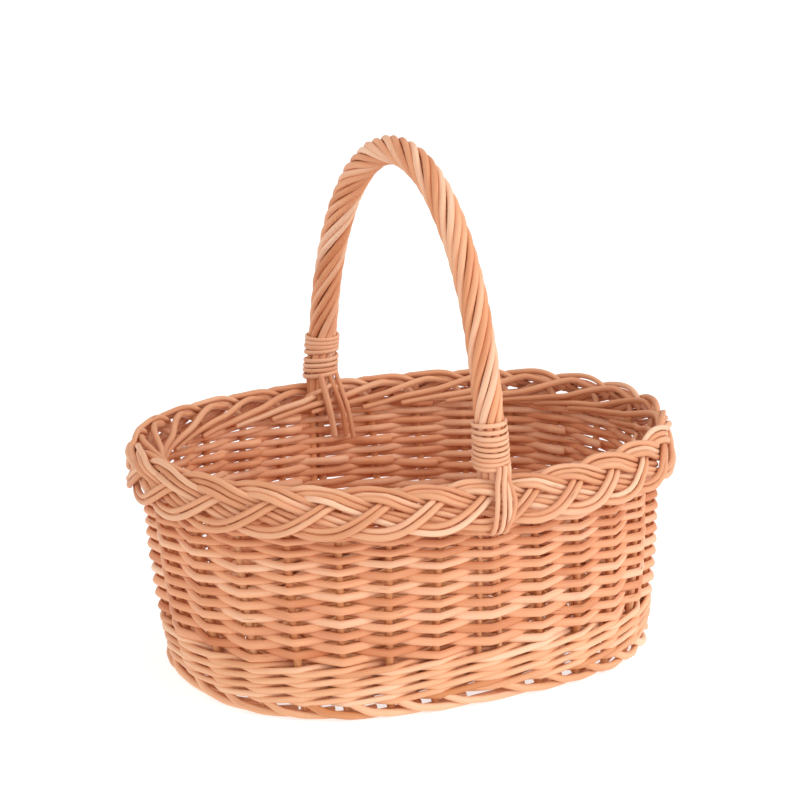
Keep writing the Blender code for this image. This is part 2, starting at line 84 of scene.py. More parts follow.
# Uprights and rows
STAKE_FOOT = RIM_HEIGHT + 2 * MM
STAKE_BUTT = 5.8 * MM
STAKE_TIP = 4.8 * MM
LINER_FOOT, LINER_TOP = RIM_HEIGHT + 8 * MM, MOUTH_HEIGHT + 8 * MM
SIDING_ROWS = 21
UPPER_ROWS = 4
ROW_OVERSIZE = 1.3  # thickness over pitch
ROW_FLATNESS = 0.84
ROW_GAP = 0.1 * MM
WALE_THICK = 4.5 * MM
WALE_ROUNDS = 4
WALE_RODS = 3
WALE_GAP = 0.3 * MM
WALE_FLATNESS = 0.95

# A woven rod: its dip as it goes outside, its taper, and its overlap at the joints in places. Its butt starts
# BUTT_TUCK of its thickness further in, behind the tip of the rod before it, and is out by BUTT_RUN places.
WEAVE_DIP = 0.9 * MM
WEAVER_BUTT = 1.08
WEAVER_TAPER = 0.18
BUTT_OVERLAP = 0.3
TIP_OVERLAP = 0.35
BUTT_RUN = 0.9
BUTT_TUCK = 0.9

# Foot and base
FOOT_THICK = 5.3 * MM
BASE_THICK = 3.4 * MM
LONG_THICK = 4.8 * MM
BASE_DIP = 0.5 * MM
RING_OVERLAP = 0.25  # radians
WINDING_POWER = 0.6  # of the cosine, which below 1 flattens the winding's sides

# Plaited border, on a face that leans out, less and steeper towards the two ends
BORDER_ROD = 4.4 * MM
BORDER_TIP = 0.86 * BORDER_ROD
BORDER_REACH = 16.5 * MM
BORDER_END_REACH = 11.4 * MM
BORDER_HEIGHT = MOUTH_HEIGHT + 0.35 * MM
BORDER_TILT = math.radians(49)
BORDER_END_TILT = math.radians(85)

# A strand of the plait, over its cycle of four places: its drop down the face, and its side, over or under.
# The rods of a strand lie one strand step apart.
PLAIT_CYCLE = 4
PLAIT_PLACES = np.array([0.0, 0.3, 0.6, 1.24, 1.8, 2.15, 2.5, 2.8, 3.24, 3.59, 3.8, 4.0])
PLAIT_DROPS = np.array([-14.3, -12.6, -8.6, 0.5, 9.5, 14.6, 14.4, 10.8, 0.8, -8.6, -12.6, -14.3]) * MM
SIDE_PLACES = np.array([0.0, 0.3, 0.8, 1.05, 1.9, 2.45, 3.3, 3.5, 3.8, 4.0])
PLAIT_SIDES = np.array([0, 1, 1, -1, -1, 1, 1, -1, -1, 0])
PLAIT_START, PLAIT_END = 0.4, 9.9
PLAIT_RUN = 37 * MM
PLAIT_LEAD = 0.4
STRAND_STEP = 0.86 * BORDER_ROD

# How the plait settles, round by round: shares of the way to a smooth line, home, flat on the face and apart
SETTLE_ROUNDS = 200
SMOOTH_DROP, SMOOTH_LIFT = 0.12, 0.10
HOME_PULL = 0.04
LIFT_KEPT = 0.992
PUSH_APART = 0.25

# The bend from the wall up into the plait: the depths of its first two points below the mouth, how long it
# keeps to each end's direction, as shares of its length, and the run in which the rod thins
BEND_DEPTHS = np.array([14, 5]) * MM
BEND_KEEPS = 0.25, 0.5
BEND_RUN = 30 * MM

# The tail, in places past the bend: its start and end, and where it leaves the border's face for the wall
TAIL_START, TAIL_END = -0.5, 3.1
TAIL_LEAVES, TAIL_CROSSING = 0.1, 1.3
TAIL_UNDER = 3.2 * MM
TAIL_INSIDE = 8.6 * MM

# Handle. The rope's rods run on below the bindings to the rope's foot, where they have closed in.
ARCH_HALF_SPAN = 124 * MM
ARCH_SPRING = BORDER_HEIGHT + 16 * MM
ARCH_RISE = 189.8 * MM
ARCH_EASE = 50 * MM
BOW_THICK = 9.4 * MM
LEG_THICK = STAKE_TIP + 0.6 * MM
LEG_DEPTH = 60 * MM
FRONT_DRIFT, BACK_DRIFT = 3.5 * MM, -4.5 * MM
DRIFT_HEIGHT = 45 * MM
DRIFT_RUN = 60 * MM
ROPE_RODS = 9
ROPE_ROD = 4.8 * MM
ROPE_GAP = 0.5 * MM
ROPE_PITCH = 120 * MM
ROPE_EASE = 45 * MM
ROPE_START = BORDER_HEIGHT + 18.5 * MM
ROPE_FOOT = BORDER_HEIGHT - 2 * MM
ROPE_CLOSING = 1.6 * MM
ROPE_STEP = 4 * MM

# Bindings and ties
BINDING_ROD = 3.3 * MM
BINDING_FLATNESS = 0.7
BINDING_TONE = 0.3
BINDING_TUCK = 3 * MM
BINDING_FADE = 0.35  # turns
BINDING_FINE = 28  # points to a turn
TIE_STAGGER = 0.7 * MM

# How far a basket made by eye lies off true: its mouth is lower at +X and higher at -X, and its foot sits to
# one side
MOUTH_DROOP = 5 * MM
FOOT_SHIFT = np.array([3.2, -2.5]) * MM


def unit(vectors):
    """The same vectors, one long."""
    return vectors / np.linalg.norm(vectors, axis=-1, keepdims=True)


def along(line):
    """Distance run along a line of points."""
    return np.concatenate([[0], np.cumsum(np.linalg.norm(np.diff(line, axis=0), axis=1))])


def eased(share):
    """A share held between 0 and 1, with a slow start and a slow end."""
    share = np.clip(share, 0, 1)
    return share * share * (3 - 2 * share)


def soften(values, width):
    """Round off the corners of a line of values: the mean over a sliding window, with the ends held."""
    ends = np.repeat(values[:1], width, axis=0), np.repeat(values[-1:], width, axis=0)
    padded = np.concatenate([ends[0], values, ends[1]])
    kernel = np.hanning(2 * width + 1)[1:-1]
    kernel /= kernel.sum()
    rounded = np.apply_along_axis(np.convolve, 0, padded, kernel, "same")
    return rounded[width:-width]


def wander(rng, run, wave, size):
    """A slow random drift along a run: three sine waves, the longest one wave long, about one size high."""
    phases = rng.uniform(0, TURN, 3)
    lengths = wave * np.array([1, 0.57, 0.31])
    return size * (np.sin(TURN * run[:, None] / lengths + phases) @ np.array([0.6, 0.35, 0.2]))


def oval(angles, half_length, half_width, fullness=OVAL_FULLNESS):
    """Points of the slightly squared oval |x/a|^m + |y/b|^m = 1 and their outward normals, in plan."""
    cosine, sine = np.cos(angles), np.sin(angles)
    power = 2 / fullness
    x = half_length * np.sign(cosine) * np.abs(cosine) ** power
    y = half_width * np.sign(sine) * np.abs(sine) ** power
    normals = np.column_stack([
        np.sign(x) * np.abs(x / half_length) ** (fullness - 1) / half_length,
        np.sign(y) * np.abs(y / half_width) ** (fullness - 1) / half_width,
    ])
    return np.column_stack([x, y]), unit(normals)


def place_angles(places):
    """Oval angles of places, which are evenly spaced along the mouth."""
    dense = np.linspace(0, TURN, OVAL_STEPS + 1)
    line, _ = oval(dense, MOUTH_HALF_LENGTH, MOUTH_HALF_WIDTH)
    run = along(line)
    rounds = np.floor(places / PLACES)
    return np.interp((places / PLACES - rounds) * run[-1], run, dense) + TURN * rounds


def wall_size(heights):
    """Half length and half width of the uprights' oval: straight from foot to mouth, plus a bulge."""
    share = (heights - RIM_HEIGHT) / (MOUTH_HEIGHT - RIM_HEIGHT)
    bulge = np.maximum(0, 4 * share * (1 - share))
    return (MOUTH_HALF_LENGTH - END_FLARE * (1 - share) + END_BULGE * bulge,
            MOUTH_HALF_WIDTH - SIDE_FLARE * (1 - share) + SIDE_BULGE * bulge)


def on_wall(places, outs, heights):
    """Points at places and heights on the wall, set out from the uprights' line, and the outward normals."""
    places, outs, heights = np.broadcast_arrays(np.asarray(places, float), outs, heights)
    share = np.clip(heights / MOUTH_HEIGHT, 0, 1)
    fullness = FOOT_FULLNESS + (OVAL_FULLNESS - FOOT_FULLNESS) * share
    spots, normals = oval(place_angles(places), *wall_size(heights), fullness)
    points = np.column_stack([spots + outs[:, None] * normals, heights])
    return points, np.column_stack([normals, np.zeros(len(normals))])


def off_true(line):
    """A line moved by the basket's unevenness: the shift is full at the foot, and the droop at the mouth."""
    share = np.clip(line[:, 2] / MOUTH_HEIGHT, 0, 1)
    droop = MOUTH_DROOP * line[:, 0] / MOUTH_HALF_LENGTH * share
    return line + np.column_stack([np.outer(1 - share, FOOT_SHIFT), -droop])


def skin(line, facing, thick, sides, flat):
    """Rings of points round a rod's line, and each point's place in the grain: twice across, then along.

    A ring's point is the line's point + half the thickness * (flat * cos(turn) * N + sin(turn) * B), where N
    is the facing squared up to the line's direction T, and B = T x N. At each end a narrower ring, a little
    beyond the line, makes the worn edge of the cut.
    """
    tangent = unit(np.gradient(line, axis=0))
    edge = CUT_DEPTH * thick[[0, -1]]
    line = np.vstack([line[0] - tangent[0] * edge[0], line, line[-1] + tangent[-1] * edge[1]])
    tangent = np.vstack([tangent[:1], tangent, tangent[-1:]])
    facing = np.vstack([facing[:1], facing, facing[-1:]])
    half = np.concatenate([[CUT_WIDTH * thick[0]], thick, [CUT_WIDTH * thick[-1]]])[:, None] / 2
    normal = unit(facing - np.sum(facing * tangent, axis=1)[:, None] * tangent)
    across = np.cross(tangent, normal)
    turn = np.linspace(0, TURN, sides, endpoint=False)
    cosine, sine = np.cos(turn), np.sin(turn)
    ring = flat * cosine[:, None] * normal[:, None] + sine[:, None] * across[:, None]
    grain = np.stack(np.broadcast_arrays(half * cosine, half * sine, along(line)[:, None]), axis=-1)
    return line[:, None] + half[:, :, None] * ring, grain


def rods(name, bars, rng, slot, stands_for=(), sides=8, flat=1.0):
    """One mesh of bars, each moved off true, skinned and closed by its two cuts."""
    here = np.arange(sides)
    ahead = np.roll(here, -1)
    vertices, faces, grains, tones = [], [], [], []
    count = 0
    for line, facing, thick, *own_tone in bars:
        line = off_true(line)
        facing = np.broadcast_to(facing, line.shape)
        thick = np.broadcast_to(thick, len(line)).astype(float)
        rings, grain = skin(line, facing, thick, sides, flat)
        vertices.append(rings.reshape(-1, 3))
        grains.append((grain + rng.uniform(0, GRAIN_SCATTER, 3)).reshape(-1, 3))
        tone = own_tone[0] if own_tone else rng.normal(0, TONE_SPREAD)
        tones.append(np.repeat(tone + wander(rng, grain[:, 0, 2], TONE_WAVE, TONE_DRIFT), sides))
        start = count + np.arange(len(rings) - 1)[:, None] * sides
        end = start + sides
        quads = np.stack([start + here, start + ahead, end + ahead, end + here], axis=-1)
        faces += quads.reshape(-1, 4).tolist()
        faces += [(count + here[::-1]).tolist(), (end[-1] + here).tolist()]
        count += len(rings) * sides
    mesh = bpy.data.meshes.new(name)
    mesh.from_pydata(np.vstack(vertices), [], faces)
    grain_field = mesh.attributes.new("grain", "FLOAT_VECTOR", "POINT").data
    grain_field.foreach_set("vector", np.vstack(grains).ravel())
    tone_field = mesh.attributes.new("tone", "FLOAT", "POINT").data
    tone_field.foreach_set("value", np.concatenate(tones))
    mesh.shade_smooth()
    mesh.set_sharp_from_angle(angle=CUT_ANGLE)
    piece = bpy.data.objects.new(name, mesh)
    bpy.context.scene.collection.objects.link(piece)
    mesh.materials.append(WILLOW[slot])
    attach(piece, "root")
    if stands_for:
        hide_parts(*stands_for)


def linear(hex_colour):
    """Linear RGBA of an sRGB hex colour."""
    shares = [int(hex_colour[i:i + 2], 16) / 255 for i in (0, 2, 4)]
    return [c / 12.92 if c <= 0.04045 else ((c + 0.055) / 1.055) ** 2.4 for c in shares] + [1.0]


def node(tree, kind, links=None, values=None, **settings):
    """Add a node: links give sockets their source, values set sockets, and settings its properties."""
    new = tree.nodes.new(kind)
    for key, value in settings.items():
        setattr(new, key, value)
    for socket, value in (values or {}).items():
        new.inputs[socket].default_value = value
    for socket, source in (links or {}).items():
        tree.links.new(source, new.inputs[socket])
    return new


def peeled_willow(name, pale, fresh, deep):
    """Stripped willow rods: smooth cream to orange wood with a satin skin.

    The eye sees fine streaks along each rod, slow patches of deeper orange, faint pink stains, a few small
    dark buds, and a tone that changes from rod to rod.
    """
    material = bpy.data.materials.new(name)
    material.use_nodes = True
    tree = material.node_tree
    shader = tree.nodes["Principled BSDF"]
    grain = node(tree, "ShaderNodeAttribute", attribute_name="grain").outputs["Vector"]
    tone = node(tree, "ShaderNodeAttribute", attribute_name="tone").outputs["Fac"]

    def stretched(across, length):
        """The grain space with a unit this long across the rod and along it."""
        return node(tree, "ShaderNodeVectorMath", {0: grain}, {1: (1 / across, 1 / across, 1 / length)},
                    operation="MULTIPLY").outputs[0]

    def noise(across, length, detail, roughness):
        """Noise with cells of a size across the rod and another along it."""
        return node(tree, "ShaderNodeTexNoise", {"Vector": stretched(across, length)},
                    {"Scale": 1.0, "Detail": detail, "Roughness": roughness}).outputs["Fac"]

    def mixed(share, under, over):
        """A colour laid over another by a share. A mix node's colours are inputs 6 and 7 and output 2."""
        return node(tree, "ShaderNodeMix", {"Factor": share, 6: under}, {7: linear(over)},
                    data_type="RGBA").outputs[2]

    fibre = noise(across=0.7 * MM, length=30 * MM, detail=3.0, roughness=0.6)
    patch = noise(across=5 * MM, length=60 * MM, detail=2.0, roughness=0.5)
    stain = noise(across=7 * MM, length=34 * MM, detail=2.0, roughness=0.55)
    streaked = node(tree, "ShaderNodeMath", {0: fibre, 1: tone}, operation="ADD").outputs[0]
    value = node(tree, "ShaderNodeMath", {0: patch, 2: streaked}, {1: 1.3},
                 operation="MULTIPLY_ADD").outputs[0]
    share = node(tree, "ShaderNodeMapRange", {"Value": value},
                 {"From Min": -0.1, "From Max": 2.4}).outputs[0]
    ramp = node(tree, "ShaderNodeValToRGB", {"Fac": share})
    ramp.color_ramp.elements[0].color = linear(deep)
    ramp.color_ramp.elements[1].color = linear(pale)
    ramp.color_ramp.elements.new(0.5).color = linear(fresh)
    pink_share = node(tree, "ShaderNodeMapRange", {"Value": stain},
                      {"From Min": 0.56, "From Max": 0.78, "To Max": 0.45}).outputs[0]
    pink = mixed(pink_share, ramp.outputs["Color"], "D98F72")
    bud = node(tree, "ShaderNodeTexVoronoi", {"Vector": stretched(5 * MM, 55 * MM)}, {"Scale": 1.0})
    bud_share = node(tree, "ShaderNodeMapRange", {"Value": bud.outputs["Distance"]},
                     {"From Min": 0.04, "From Max": 0.10, "To Min": 0.7, "To Max": 0.0}).outputs[0]
    tree.links.new(mixed(bud_share, pink, "8A5630"), shader.inputs["Base Color"])
    rough = node(tree, "ShaderNodeMapRange", {"Value": patch}, {"To Min": 0.42, "To Max": 0.62}).outputs[0]
    tree.links.new(rough, shader.inputs["Roughness"])
    bump = node(tree, "ShaderNodeBump", {"Height": fibre}, {"Strength": 0.5, "Distance": 0.12 * MM})
    tree.links.new(bump.outputs[0], shader.inputs["Normal"])
    shader.inputs["IOR"].default_value = 1.4
    return material


WILLOW = {
    "willow_uprights": peeled_willow("stripped_willow_stakes", "F0BE93", "E09B68", "C27644"),
    "willow_weaving": peeled_willow("stripped_willow_weavers", "F8CEAD", "EBA87D", "C9774A"),
    "willow_wales": peeled_willow("stripped_willow_wale_rods", "F9D4B4", "EEB48A", "D08857"),
    "willow_base": peeled_willow("stripped_willow_base_rods", "E9B487", "D4905B", "B06A38"),
    "willow_border": peeled_willow("stripped_willow_border_rods", "EFC2A0", "DFA077", "BF744A"),
    "willow_handle": peeled_willow("stripped_willow_handle_rods", "FAD8BC", "E8A67B", "C37242"),
    "willow_binding": peeled_willow("split_willow_bindings", "F4C9A8", "E5A67E", "CB8055"),
}


def stakes():
    """The uprights of the wall, thinner towards the mouth."""
    rng = np.random.default_rng(11)
    heights = np.linspace(STAKE_FOOT, MOUTH_HEIGHT, 26)
    for place in range(PLACES):
        if place in (BACK_PLACE, FRONT_PLACE):
            continue
        line, facing = on_wall(place + wander(rng, heights, 150 * MM, 0.012), 0.0, heights)
        thick = np.linspace(STAKE_BUTT, STAKE_TIP, len(heights))
        thick *= 1 + wander(rng, heights, 90 * MM, 0.03)
        rods(f"stake_rod_{place:02d}", [(line, facing, thick, rng.normal(-0.1, 0.3))], rng, "willow_uprights",
             [f"stake_{place:02d}"], sides=10)


def joints(rng, first, total, shortest, longest, step):
    """Places where one rod hands over to the next, a multiple of the step apart."""
    found = [first]
    while found[-1] < first + total - longest:
        found.append(found[-1] + step * rng.integers(shortest // step, longest // step + 1))
    return found + [first + total]


def woven_bar(rng, start, stop, lane, passes, height, thick):
    """A rod woven from one joint to the next, with an overlap at both.

    At place k it lies lane * passes(k) out from the uprights' line, and height(u) is its height at place u.
    """
    first, last = start - BUTT_OVERLAP, stop + TIP_OVERLAP
    places = np.linspace(first, last, int(round((last - first) * FINE)) + 1)
    knots = np.arange(math.floor(first), math.ceil(last) + 1)
    outs = np.interp(places, knots, lane * passes(knots))
    heights = height(places) - WEAVE_DIP * outs / lane
    hidden = 1 - eased((places - first) / BUTT_RUN)
    line, facing = on_wall(places, outs - BUTT_TUCK * thick * hidden, heights)
    taper = WEAVER_BUTT - WEAVER_TAPER * ((places - first) / (last - first))
    return line, facing, thick * taper * (1 + wander(rng, places, 7, 0.035))


def woven_bars(rng, ends, lane, passes, height, thick, spread):
    """Rods woven one after another from joint to joint, each of a thickness within the spread."""
    return [woven_bar(rng, start, stop, lane, passes, height, thick * rng.uniform(*spread))
            for start, stop in zip(ends[:-1], ends[1:])]


def wall_wave(places, row):
    """How far a row lies from level: a slow wave round the wall that changes from row to row."""
    angle = TURN * places / PLACES
    return 0.45 * MM * np.sin(2 * angle + 0.37 * row) + 0.3 * MM * np.sin(5 * angle - 0.55 * row)


def randed_rows(name, low, high, rows, first_row, slope, stands_for, seed):
    """Rows over one place and under one, each row the opposite of the row below, and finer towards the top.

    A row's pitch falls evenly from 1 + slope of the mean pitch at the bottom to 1 - slope of it at the top.
    """
    rng = np.random.default_rng(seed)
    pitches = (high - low) / rows * np.linspace(1 + slope, 1 - slope, rows)
    levels = low + np.cumsum(pitches) - pitches / 2
    bars = []
    for row, pitch, level in zip(range(first_row, first_row + rows), pitches, levels):
        thick = ROW_OVERSIZE * pitch
        lane = (STAKE_BUTT + STAKE_TIP) / 4 + ROW_FLATNESS * thick / 2 + ROW_GAP
        first = 2 * rng.integers(0, PLACES // 2) + (row + 1) % 2
        ends = joints(rng, first, PLACES, shortest=8, longest=14, step=2)
        bars += woven_bars(rng, ends, lane, lambda k: np.where((k + row) % 2 == 0, 1.0, -1.0),
                           lambda u: level + wall_wave(u, row), thick, spread=(0.94, 1.06))
    rods(name, bars, rng, "willow_weaving", stands_for, flat=ROW_FLATNESS)


def lower_wale():
    """Rounds of three-rod wale: each rod passes outside two places, rising, and inside the third, falling.

    Its height swings by -sin(2 pi p / 3) / sin(pi / 3), where p counts places from the one passed inside.
    """
    rng = np.random.default_rng(23)
    pitch = (WALE_HIGH - WALE_LOW) / WALE_ROUNDS
    swing = pitch / 4
    lane = STAKE_BUTT / 2 + WALE_THICK / 2 + WALE_GAP
    base = WALE_LOW + pitch / 2
    bars = []
    for rod_number in range(WALE_RODS):
        def passes(k):
            """Out past two places and in behind the third."""
            return np.where((k + rod_number) % WALE_RODS == 0, -1.0, 1.0)

        def height(u):
            """Level for a round, then up to the next over its last places, with the swing."""
            row = np.floor(u / PLACES)
            climb = np.clip((u - row * PLACES - PLACES + WALE_RODS) / WALE_RODS, 0, 1)
            level = base + pitch * np.minimum(row + climb, WALE_ROUNDS - 1)
            return level - swing * np.sin(TURN * (u + rod_number) / WALE_RODS) / math.sin(math.pi / WALE_RODS)

        first = (WALE_RODS - rod_number) % WALE_RODS
        total = WALE_RODS * ((WALE_ROUNDS * PLACES - 1 - first) // WALE_RODS)
        ends = joints(rng, first, total, shortest=12, longest=21, step=WALE_RODS)
        bars += woven_bars(rng, ends, lane, passes, height, WALE_THICK, spread=(0.94, 1.08))
    rods("lower_wale_rods", bars, rng, "willow_wales", ["lower_wale"], sides=10, flat=WALE_FLATNESS)


def foot_border():
    """Rods that leave the wale at each place, run down and forward into the rim and tuck in under it."""
    rng = np.random.default_rng(31)
    ahead = np.array([-0.06, 0.1, 0.5, 1.0, 1.5, 2.0, 2.7])
    out = np.array([0.5, 4.6, 7.4, 6.4, 3.2, -0.6, -4.6]) * MM
    height = np.array([15.5, 11.6, 5.9, 3.6, 2.8, 2.8, 4.6]) * MM
    fine = np.linspace(ahead[0], ahead[-1], 44)
    outs = soften(np.interp(fine, ahead, out), 3)
    heights = soften(np.interp(fine, ahead, height), 3)
    bars = []
    for place in range(PLACES):
        shift = rng.uniform(-0.05, 0.05)
        line, facing = on_wall(place + shift + fine, outs + wander(rng, fine, 3, 0.4 * MM), heights)
        thick = FOOT_THICK * rng.uniform(0.9, 1.02) * np.linspace(1.04, 0.9, len(fine))
        bars.append((line, facing, thick))
    rods("foot_border_rods", bars, rng, "willow_wales", ["foot_rim", "foot_sweep"], sides=10,
         flat=WALE_FLATNESS)


def plait_rod():
    """One rod in the plait: its drop down the face and its lift off it, for the places that it has run.

    It joins a strand as the lowest of three rods, and moves up by one of them in each cycle. Every upright's
    rod does the same a place further on, so the rod is settled against copies of itself: where two lie nearer
    than their thickness both move apart, and the line is drawn home and smoothed, many times over.
    """
    steps = np.arange(int(round((PLAIT_END - PLAIT_START) * FINE)) + 1) / FINE + PLAIT_START
    phase = np.mod(steps, PLAIT_CYCLE)
    middle = soften(np.interp(phase, PLAIT_PLACES, PLAIT_DROPS), 3)
    slant = np.hypot(1, np.gradient(middle, steps) / PLAIT_RUN)
    home = middle + STRAND_STEP * slant * (1 - steps / PLAIT_CYCLE)
    drop = home.copy()
    lift = 0.5 * BORDER_ROD * soften(np.interp(phase, SIDE_PLACES, PLAIT_SIDES), 3)
    for _ in range(SETTLE_ROUNDS):
        for field, pull in ((drop, SMOOTH_DROP), (lift, SMOOTH_LIFT)):
            field[1:-1] += pull * (field[2:] + field[:-2] - 2 * field[1:-1])
        drop += HOME_PULL * (home - drop)
        lift *= LIFT_KEPT
        move_drop, move_lift = np.zeros_like(drop), np.zeros_like(lift)
        for places_on in range(1, int(PLAIT_END - PLAIT_START) + 1):
            here, there = slice(None, -places_on * FINE), slice(places_on * FINE, None)
            width = BORDER_ROD * (slant[here] + slant[there]) / 2
            down = (drop[here] - drop[there]) / width
            off = (lift[here] - lift[there]) / BORDER_ROD
            apart = np.hypot(down, off) + 1e-6
            push = PUSH_APART * np.clip(1 - apart, 0, None) / apart
            move_drop[here] += push * down * width
            move_drop[there] -= push * down * width
            move_lift[here] += push * off * BORDER_ROD
            move_lift[there] -= push * off * BORDER_ROD
        drop += move_drop
        lift += move_lift
    return steps, drop, lift


def on_face(spots, normals, angles, down, off):
    """Points down the border's face and off it, from spots on the mouth's line, and the face's normals."""
    end = np.cos(angles) ** 2
    reach = BORDER_REACH + end * (BORDER_END_REACH - BORDER_REACH)
    tilt = BORDER_TILT + end * (BORDER_END_TILT - BORDER_TILT)
    out = reach + down * np.cos(tilt) + off * np.sin(tilt)
    heights = BORDER_HEIGHT - down * np.sin(tilt) + off * np.cos(tilt)
    points = np.column_stack([spots + out[:, None] * normals, heights])
    return points, np.column_stack([np.sin(tilt)[:, None] * normals, np.cos(tilt)])


def on_border(places, down, off):
    """Points of the border at places round it, down its face and off it, and the face's normals."""
    angles = place_angles(places)
    spots, normals = oval(angles, MOUTH_HALF_LENGTH, MOUTH_HALF_WIDTH)
    return on_face(spots, normals, angles, down, off)


def plait_bars(rng):
    """Each upright's rod, which bends over into the strand that turns there, and runs on in it.

    Its line starts in the wall, is a cubic curve up into the plait, and then follows the settled rod.
    """
    steps, drop, lift = plait_rod()
    share = np.linspace(0, 1, 12)[:-1, None]
    bars = []
    for place in range(PLACES):
        line, face = on_border(place + PLAIT_LEAD + steps, drop + wander(rng, steps, 6, 0.45 * MM),
                               lift + wander(rng, steps, 5, 0.3 * MM))
        foot, foot_face = on_wall(place, 0.0, MOUTH_HEIGHT - BEND_DEPTHS)
        lead = np.linalg.norm(line[0] - foot[1])
        control_a = foot[1] + unit(foot[1] - foot[0]) * lead * BEND_KEEPS[0]
        control_b = line[0] - unit(line[1] - line[0]) * lead * BEND_KEEPS[1]
        curve = ((1 - share) ** 3 * foot[1] + 3 * share * (1 - share) ** 2 * control_a
                 + 3 * share ** 2 * (1 - share) * control_b + share ** 3 * line[0])
        curve_face = unit((1 - share) * foot_face[:1] + share * face[:1])
        line = np.vstack([foot[:1], curve, line])
        run = along(line)
        thick = np.interp(run, [0, BEND_RUN, run[-1]], [STAKE_TIP, BORDER_ROD, BORDER_TIP])
        thick = thick * rng.uniform(0.94, 1.07) * (1 + wander(rng, run, 200 * MM, 0.04))
        bars.append((line, np.vstack([foot_face[:1], curve_face, face]), thick, rng.normal(0.1, 0.35)))
    return bars


def tail_bars(rng):
    """Each rod's tail, which runs from the plait's inner edge down the inside of the wall, over the bends.

    It goes from a line under the border's face over to one inside the wall, and is cut off there.
    """
    fine = np.linspace(TAIL_START, TAIL_END, 40)
    away = eased((fine - TAIL_LEAVES) / TAIL_CROSSING)[:, None]
    drops = np.interp(fine, [TAIL_START, 0.3, TAIL_END], [-7, -15.5, -17]) * MM
    levels = MOUTH_HEIGHT + np.interp(fine, [0, 1.2, TAIL_END], [9.5, 6.5, -3]) * MM
    bars = []
    for place in range(PLACES):
        reach = TAIL_END + rng.uniform(-0.25, 0.1)
        ahead = PLAIT_LEAD + TAIL_START + (fine - TAIL_START) * (reach - TAIL_START) / (TAIL_END - TAIL_START)
        high, face = on_border(place + ahead, drops, -TAIL_UNDER)
        low, inside = on_wall(place + ahead, -TAIL_INSIDE, levels + wander(rng, fine, 3, 0.6 * MM))
        thick = np.linspace(1.08, 0.9, len(fine)) * BORDER_ROD * rng.uniform(0.92, 1.06)
        bars.append((high + away * (low - high), unit(face + away * (inside - face)), thick,
                     rng.normal(-0.2, 0.2)))
    return bars


def border():
    """The plaited border with its tails."""
    rng = np.random.default_rng(41)
    bars = plait_bars(rng)
    bars += tail_bars(rng)
    rods("border_plait", bars, rng, "willow_border",
         ["border_strand_1", "border_strand_2", "border_strand_3"], sides=10, flat=0.96)


def arch_line():
    """Middle line of the bow, front to back: half an oval, eased into the wall's line near the springing."""
    turn = np.linspace(0, math.pi, 361)
    height = ARCH_SPRING + ARCH_RISE * np.sin(turn)
    across = -ARCH_HALF_SPAN * np.cos(turn)
    ease = eased((height - ARCH_SPRING) / ARCH_EASE)
    across = np.sign(across) * ((1 - ease) * wall_size(height)[1] + ease * np.abs(across))
    return np.column_stack([np.zeros(len(turn)), across, height])


def handle_line():
    """The bow's whole line: up the front leg from inside the wall, over the arch and down the back leg.

    Each leg drifts a little to one side as it comes down to the border.
    """
    heights = np.linspace(MOUTH_HEIGHT - LEG_DEPTH, ARCH_SPRING - 2 * MM, 16)
    leg = np.column_stack([np.zeros(len(heights)), -wall_size(heights)[1], heights])
    line = np.vstack([leg, arch_line(), (leg * (1, -1, 1))[::-1]])
    low = eased((ARCH_SPRING + DRIFT_HEIGHT - line[:, 2]) / DRIFT_RUN)
    line[:, 0] += np.where(line[:, 1] > 0, BACK_DRIFT, FRONT_DRIFT) * low
    return line


def along_handle(distances, line):
    """Points and inward normals of the handle at distances along it."""
    run = along(line)
    spots = np.column_stack([np.interp(distances, run, line[:, i]) for i in range(3)])
    slopes = np.gradient(line, run, axis=0)
    tangents = unit(np.column_stack([np.interp(distances, run, slopes[:, i]) for i in range(3)]))
    return spots, np.column_stack([np.zeros(len(distances)), tangents[:, 2], -tangents[:, 1]])


def wound(distances, turns, reach, line):
    """A line wound right-handed round the handle, by turns in radians at a reach, and the way it faces."""
    spots, normals = along_handle(distances, line)
    radial = np.cos(turns)[:, None] * normals - np.sin(turns)[:, None] * np.array([1.0, 0.0, 0.0])
    return spots + np.broadcast_to(reach, len(turns))[:, None] * radial, radial


def height_run(line, height):
    """Distance along the handle of a height on its front leg; the back leg mirrors it."""
    half = len(line) // 2
    return np.interp(height, line[:half, 2], along(line)[:half])


